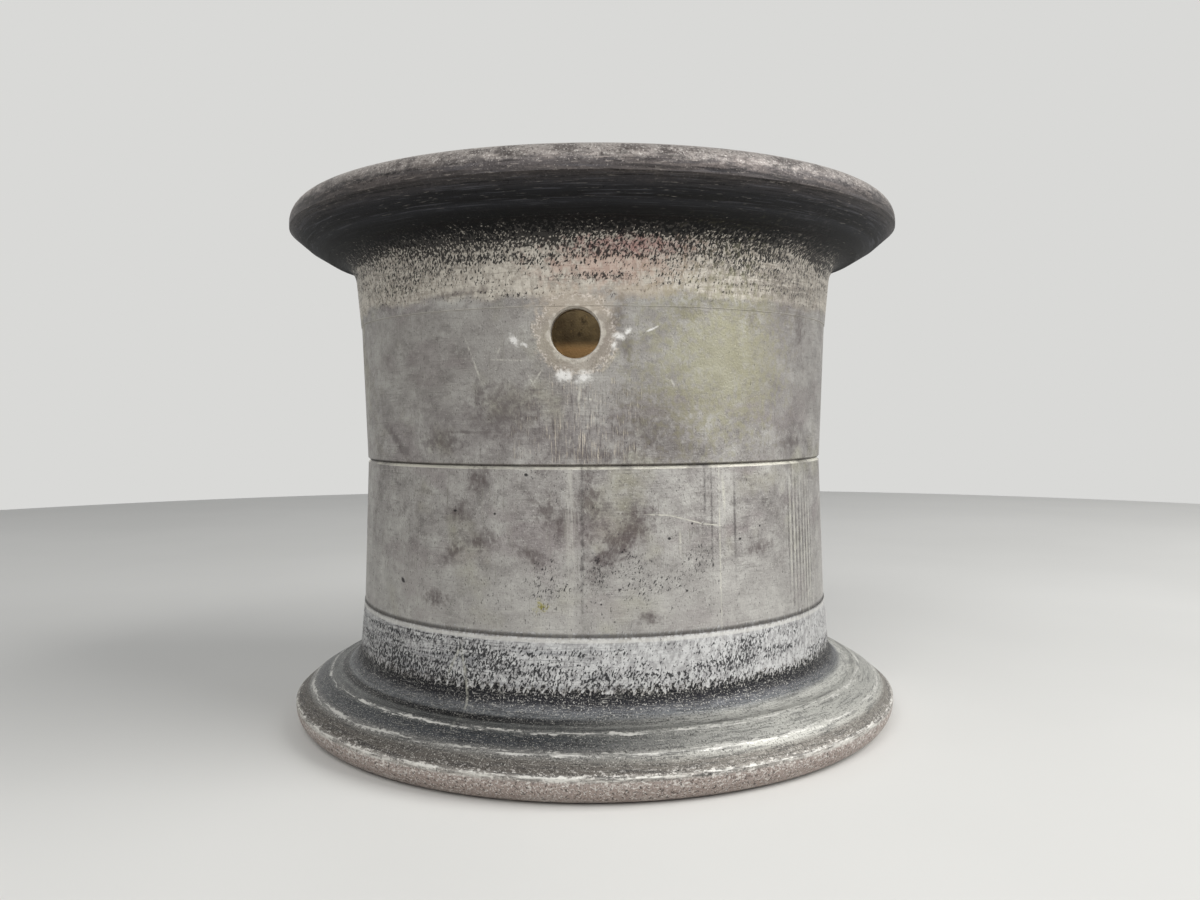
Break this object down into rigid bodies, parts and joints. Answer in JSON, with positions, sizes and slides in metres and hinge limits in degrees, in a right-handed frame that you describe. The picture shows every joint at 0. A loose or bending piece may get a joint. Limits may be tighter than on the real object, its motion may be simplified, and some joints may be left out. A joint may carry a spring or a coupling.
{
  "type": "aircraft wheel",
  "caption": "Split cast aircraft wheel for a tube tyre, with tie bolts, tapered roller bearings and felt grease seals, standing on its flange.",
  "frame": {"origin": "centre of the plane that the wheel stands on, the inboard lip's face, on the axle's axis", "axes": "+Z along the axle from the inboard to the outboard side; the valve hole faces -Y"},
  "size_m": [0.1906, 0.1904, 0.158],
  "materials": {
    "cast_magnesium": "worn, chromate treated magnesium casting, mottled beige and grey",
    "plated_steel": "yellow passivated cadmium plate, dulled",
    "bearing_steel": "ground bearing steel under a film of grease",
    "cage_steel": "pressed steel, oiled",
    "pressed_steel": "pressed steel, dull",
    "spring_steel": "blackened spring steel",
    "felt": "grease soaked wool felt"
  },
  "bodies": {
    "wheel": {"outboard_half": "cast_magnesium", "inboard_half": "cast_magnesium", "tie_bolts": "plated_steel", "head_washers": "plated_steel", "nut_washers": "plated_steel", "lock_nuts": "plated_steel", "outboard_bearing_cup": "bearing_steel", "outboard_inner_retainer": "pressed_steel", "outboard_seal_felt": "felt", "outboard_outer_retainer": "pressed_steel", "outboard_snap_ring": "spring_steel", "inboard_bearing_cup": "bearing_steel", "inboard_inner_retainer": "pressed_steel", "inboard_seal_felt": "felt", "inboard_outer_retainer": "pressed_steel", "inboard_snap_ring": "spring_steel"},
    "outboard_cone": {"outboard_bearing_cone": "bearing_steel"},
    "outboard_cage": {"outboard_bearing_cage": "cage_steel"},
    "outboard_roller_01": {"outboard_roller_01": "bearing_steel"},
    "outboard_roller_02": {"outboard_roller_02": "bearing_steel"},
    "outboard_roller_03": {"outboard_roller_03": "bearing_steel"},
    "outboard_roller_04": {"outboard_roller_04": "bearing_steel"},
    "outboard_roller_05": {"outboard_roller_05": "bearing_steel"},
    "outboard_roller_06": {"outboard_roller_06": "bearing_steel"},
    "outboard_roller_07": {"outboard_roller_07": "bearing_steel"},
    "outboard_roller_08": {"outboard_roller_08": "bearing_steel"},
    "outboard_roller_09": {"outboard_roller_09": "bearing_steel"},
    "outboard_roller_10": {"outboard_roller_10": "bearing_steel"},
    "outboard_roller_11": {"outboard_roller_11": "bearing_steel"},
    "outboard_roller_12": {"outboard_roller_12": "bearing_steel"},
    "outboard_roller_13": {"outboard_roller_13": "bearing_steel"},
    "outboard_roller_14": {"outboard_roller_14": "bearing_steel"},
    "outboard_roller_15": {"outboard_roller_15": "bearing_steel"},
    "outboard_roller_16": {"outboard_roller_16": "bearing_steel"},
    "inboard_cone": {"inboard_bearing_cone": "bearing_steel"},
    "inboard_cage": {"inboard_bearing_cage": "cage_steel"},
    "inboard_roller_01": {"inboard_roller_01": "bearing_steel"},
    "inboard_roller_02": {"inboard_roller_02": "bearing_steel"},
    "inboard_roller_03": {"inboard_roller_03": "bearing_steel"},
    "inboard_roller_04": {"inboard_roller_04": "bearing_steel"},
    "inboard_roller_05": {"inboard_roller_05": "bearing_steel"},
    "inboard_roller_06": {"inboard_roller_06": "bearing_steel"},
    "inboard_roller_07": {"inboard_roller_07": "bearing_steel"},
    "inboard_roller_08": {"inboard_roller_08": "bearing_steel"},
    "inboard_roller_09": {"inboard_roller_09": "bearing_steel"},
    "inboard_roller_10": {"inboard_roller_10": "bearing_steel"},
    "inboard_roller_11": {"inboard_roller_11": "bearing_steel"},
    "inboard_roller_12": {"inboard_roller_12": "bearing_steel"},
    "inboard_roller_13": {"inboard_roller_13": "bearing_steel"},
    "inboard_roller_14": {"inboard_roller_14": "bearing_steel"},
    "inboard_roller_15": {"inboard_roller_15": "bearing_steel"},
    "inboard_roller_16": {"inboard_roller_16": "bearing_steel"}
  },
  "joints": [
    {"name": "outboard_cone_spin", "type": "hinge", "parent": "wheel", "child": "outboard_cone", "pos_m": [0, 0, 0.12047], "axis": [0, 0, 1], "continuous": true},
    {"name": "outboard_cage_spin", "type": "hinge", "parent": "wheel", "child": "outboard_cage", "pos_m": [0, 0, 0.12047], "axis": [0, 0, 1], "continuous": true},
    {"name": "outboard_roller_spin_01", "type": "hinge", "parent": "outboard_cage", "child": "outboard_roller_01", "pos_m": [0.02242, 0, 0.11887], "axis": [0.225, 0, 0.9744], "continuous": true},
    {"name": "outboard_roller_spin_02", "type": "hinge", "parent": "outboard_cage", "child": "outboard_roller_02", "pos_m": [0.02071, -0.00858, 0.11887], "axis": [0.2078, -0.0861, 0.9744], "continuous": true},
    {"name": "outboard_roller_spin_03", "type": "hinge", "parent": "outboard_cage", "child": "outboard_roller_03", "pos_m": [0.01585, -0.01585, 0.11887], "axis": [0.1591, -0.1591, 0.9744], "continuous": true},
    {"name": "outboard_roller_spin_04", "type": "hinge", "parent": "outboard_cage", "child": "outboard_roller_04", "pos_m": [0.00858, -0.02071, 0.11887], "axis": [0.0861, -0.2078, 0.9744], "continuous": true},
    {"name": "outboard_roller_spin_05", "type": "hinge", "parent": "outboard_cage", "child": "outboard_roller_05", "pos_m": [0, -0.02242, 0.11887], "axis": [0, -0.225, 0.9744], "continuous": true},
    {"name": "outboard_roller_spin_06", "type": "hinge", "parent": "outboard_cage", "child": "outboard_roller_06", "pos_m": [-0.00858, -0.02071, 0.11887], "axis": [-0.0861, -0.2078, 0.9744], "continuous": true},
    {"name": "outboard_roller_spin_07", "type": "hinge", "parent": "outboard_cage", "child": "outboard_roller_07", "pos_m": [-0.01585, -0.01585, 0.11887], "axis": [-0.1591, -0.1591, 0.9744], "continuous": true},
    {"name": "outboard_roller_spin_08", "type": "hinge", "parent": "outboard_cage", "child": "outboard_roller_08", "pos_m": [-0.02071, -0.00858, 0.11887], "axis": [-0.2078, -0.0861, 0.9744], "continuous": true},
    {"name": "outboard_roller_spin_09", "type": "hinge", "parent": "outboard_cage", "child": "outboard_roller_09", "pos_m": [-0.02242, 0, 0.11887], "axis": [-0.225, 0, 0.9744], "continuous": true},
    {"name": "outboard_roller_spin_10", "type": "hinge", "parent": "outboard_cage", "child": "outboard_roller_10", "pos_m": [-0.02071, 0.00858, 0.11887], "axis": [-0.2078, 0.0861, 0.9744], "continuous": true},
    {"name": "outboard_roller_spin_11", "type": "hinge", "parent": "outboard_cage", "child": "outboard_roller_11", "pos_m": [-0.01585, 0.01585, 0.11887], "axis": [-0.1591, 0.1591, 0.9744], "continuous": true},
    {"name": "outboard_roller_spin_12", "type": "hinge", "parent": "outboard_cage", "child": "outboard_roller_12", "pos_m": [-0.00858, 0.02071, 0.11887], "axis": [-0.0861, 0.2078, 0.9744], "continuous": true},
    {"name": "outboard_roller_spin_13", "type": "hinge", "parent": "outboard_cage", "child": "outboard_roller_13", "pos_m": [0, 0.02242, 0.11887], "axis": [0, 0.225, 0.9744], "continuous": true},
    {"name": "outboard_roller_spin_14", "type": "hinge", "parent": "outboard_cage", "child": "outboard_roller_14", "pos_m": [0.00858, 0.02071, 0.11887], "axis": [0.0861, 0.2078, 0.9744], "continuous": true},
    {"name": "outboard_roller_spin_15", "type": "hinge", "parent": "outboard_cage", "child": "outboard_roller_15", "pos_m": [0.01585, 0.01585, 0.11887], "axis": [0.1591, 0.1591, 0.9744], "continuous": true},
    {"name": "outboard_roller_spin_16", "type": "hinge", "parent": "outboard_cage", "child": "outboard_roller_16", "pos_m": [0.02071, 0.00858, 0.11887], "axis": [0.2078, 0.0861, 0.9744], "continuous": true},
    {"name": "inboard_cone_spin", "type": "hinge", "parent": "wheel", "child": "inboard_cone", "pos_m": [0, 0, 0.03753], "axis": [0, 0, -1], "continuous": true},
    {"name": "inboard_cage_spin", "type": "hinge", "parent": "wheel", "child": "inboard_cage", "pos_m": [0, 0, 0.03753], "axis": [0, 0, -1], "continuous": true},
    {"name": "inboard_roller_spin_01", "type": "hinge", "parent": "inboard_cage", "child": "inboard_roller_01", "pos_m": [0.02242, 0, 0.03913], "axis": [0.225, 0, -0.9744], "continuous": true},
    {"name": "inboard_roller_spin_02", "type": "hinge", "parent": "inboard_cage", "child": "inboard_roller_02", "pos_m": [0.02071, 0.00858, 0.03913], "axis": [0.2078, 0.0861, -0.9744], "continuous": true},
    {"name": "inboard_roller_spin_03", "type": "hinge", "parent": "inboard_cage", "child": "inboard_roller_03", "pos_m": [0.01585, 0.01585, 0.03913], "axis": [0.1591, 0.1591, -0.9744], "continuous": true},
    {"name": "inboard_roller_spin_04", "type": "hinge", "parent": "inboard_cage", "child": "inboard_roller_04", "pos_m": [0.00858, 0.02071, 0.03913], "axis": [0.0861, 0.2078, -0.9744], "continuous": true},
    {"name": "inboard_roller_spin_05", "type": "hinge", "parent": "inboard_cage", "child": "inboard_roller_05", "pos_m": [0, 0.02242, 0.03913], "axis": [0, 0.225, -0.9744], "continuous": true},
    {"name": "inboard_roller_spin_06", "type": "hinge", "parent": "inboard_cage", "child": "inboard_roller_06", "pos_m": [-0.00858, 0.02071, 0.03913], "axis": [-0.0861, 0.2078, -0.9744], "continuous": true},
    {"name": "inboard_roller_spin_07", "type": "hinge", "parent": "inboard_cage", "child": "inboard_roller_07", "pos_m": [-0.01585, 0.01585, 0.03913], "axis": [-0.1591, 0.1591, -0.9744], "continuous": true},
    {"name": "inboard_roller_spin_08", "type": "hinge", "parent": "inboard_cage", "child": "inboard_roller_08", "pos_m": [-0.02071, 0.00858, 0.03913], "axis": [-0.2078, 0.0861, -0.9744], "continuous": true},
    {"name": "inboard_roller_spin_09", "type": "hinge", "parent": "inboard_cage", "child": "inboard_roller_09", "pos_m": [-0.02242, 0, 0.03913], "axis": [-0.225, 0, -0.9744], "continuous": true},
    {"name": "inboard_roller_spin_10", "type": "hinge", "parent": "inboard_cage", "child": "inboard_roller_10", "pos_m": [-0.02071, -0.00858, 0.03913], "axis": [-0.2078, -0.0861, -0.9744], "continuous": true},
    {"name": "inboard_roller_spin_11", "type": "hinge", "parent": "inboard_cage", "child": "inboard_roller_11", "pos_m": [-0.01585, -0.01585, 0.03913], "axis": [-0.1591, -0.1591, -0.9744], "continuous": true},
    {"name": "inboard_roller_spin_12", "type": "hinge", "parent": "inboard_cage", "child": "inboard_roller_12", "pos_m": [-0.00858, -0.02071, 0.03913], "axis": [-0.0861, -0.2078, -0.9744], "continuous": true},
    {"name": "inboard_roller_spin_13", "type": "hinge", "parent": "inboard_cage", "child": "inboard_roller_13", "pos_m": [0, -0.02242, 0.03913], "axis": [0, -0.225, -0.9744], "continuous": true},
    {"name": "inboard_roller_spin_14", "type": "hinge", "parent": "inboard_cage", "child": "inboard_roller_14", "pos_m": [0.00858, -0.02071, 0.03913], "axis": [0.0861, -0.2078, -0.9744], "continuous": true},
    {"name": "inboard_roller_spin_15", "type": "hinge", "parent": "inboard_cage", "child": "inboard_roller_15", "pos_m": [0.01585, -0.01585, 0.03913], "axis": [0.1591, -0.1591, -0.9744], "continuous": true},
    {"name": "inboard_roller_spin_16", "type": "hinge", "parent": "inboard_cage", "child": "inboard_roller_16", "pos_m": [0.02071, -0.00858, 0.03913], "axis": [0.2078, -0.0861, -0.9744], "continuous": true}
  ],
  "couplings": [
    {"joint": "outboard_cage_spin", "follows": "outboard_cone_spin", "ratio": 0.42437},
    {"joint": "outboard_roller_spin_01", "follows": "outboard_cone_spin", "ratio": -3.1472},
    {"joint": "outboard_roller_spin_02", "follows": "outboard_cone_spin", "ratio": -3.1472},
    {"joint": "outboard_roller_spin_03", "follows": "outboard_cone_spin", "ratio": -3.1472},
    {"joint": "outboard_roller_spin_04", "follows": "outboard_cone_spin", "ratio": -3.1472},
    {"joint": "outboard_roller_spin_05", "follows": "outboard_cone_spin", "ratio": -3.1472},
    {"joint": "outboard_roller_spin_06", "follows": "outboard_cone_spin", "ratio": -3.1472},
    {"joint": "outboard_roller_spin_07", "follows": "outboard_cone_spin", "ratio": -3.1472},
    {"joint": "outboard_roller_spin_08", "follows": "outboard_cone_spin", "ratio": -3.1472},
    {"joint": "outboard_roller_spin_09", "follows": "outboard_cone_spin", "ratio": -3.1472},
    {"joint": "outboard_roller_spin_10", "follows": "outboard_cone_spin", "ratio": -3.1472},
    {"joint": "outboard_roller_spin_11", "follows": "outboard_cone_spin", "ratio": -3.1472},
    {"joint": "outboard_roller_spin_12", "follows": "outboard_cone_spin", "ratio": -3.1472},
    {"joint": "outboard_roller_spin_13", "follows": "outboard_cone_spin", "ratio": -3.1472},
    {"joint": "outboard_roller_spin_14", "follows": "outboard_cone_spin", "ratio": -3.1472},
    {"joint": "outboard_roller_spin_15", "follows": "outboard_cone_spin", "ratio": -3.1472},
    {"joint": "outboard_roller_spin_16", "follows": "outboard_cone_spin", "ratio": -3.1472},
    {"joint": "inboard_cage_spin", "follows": "inboard_cone_spin", "ratio": 0.42437},
    {"joint": "inboard_roller_spin_01", "follows": "inboard_cone_spin", "ratio": -3.1472},
    {"joint": "inboard_roller_spin_02", "follows": "inboard_cone_spin", "ratio": -3.1472},
    {"joint": "inboard_roller_spin_03", "follows": "inboard_cone_spin", "ratio": -3.1472},
    {"joint": "inboard_roller_spin_04", "follows": "inboard_cone_spin", "ratio": -3.1472},
    {"joint": "inboard_roller_spin_05", "follows": "inboard_cone_spin", "ratio": -3.1472},
    {"joint": "inboard_roller_spin_06", "follows": "inboard_cone_spin", "ratio": -3.1472},
    {"joint": "inboard_roller_spin_07", "follows": "inboard_cone_spin", "ratio": -3.1472},
    {"joint": "inboard_roller_spin_08", "follows": "inboard_cone_spin", "ratio": -3.1472},
    {"joint": "inboard_roller_spin_09", "follows": "inboard_cone_spin", "ratio": -3.1472},
    {"joint": "inboard_roller_spin_10", "follows": "inboard_cone_spin", "ratio": -3.1472},
    {"joint": "inboard_roller_spin_11", "follows": "inboard_cone_spin", "ratio": -3.1472},
    {"joint": "inboard_roller_spin_12", "follows": "inboard_cone_spin", "ratio": -3.1472},
    {"joint": "inboard_roller_spin_13", "follows": "inboard_cone_spin", "ratio": -3.1472},
    {"joint": "inboard_roller_spin_14", "follows": "inboard_cone_spin", "ratio": -3.1472},
    {"joint": "inboard_roller_spin_15", "follows": "inboard_cone_spin", "ratio": -3.1472},
    {"joint": "inboard_roller_spin_16", "follows": "inboard_cone_spin", "ratio": -3.1472}
  ]
}
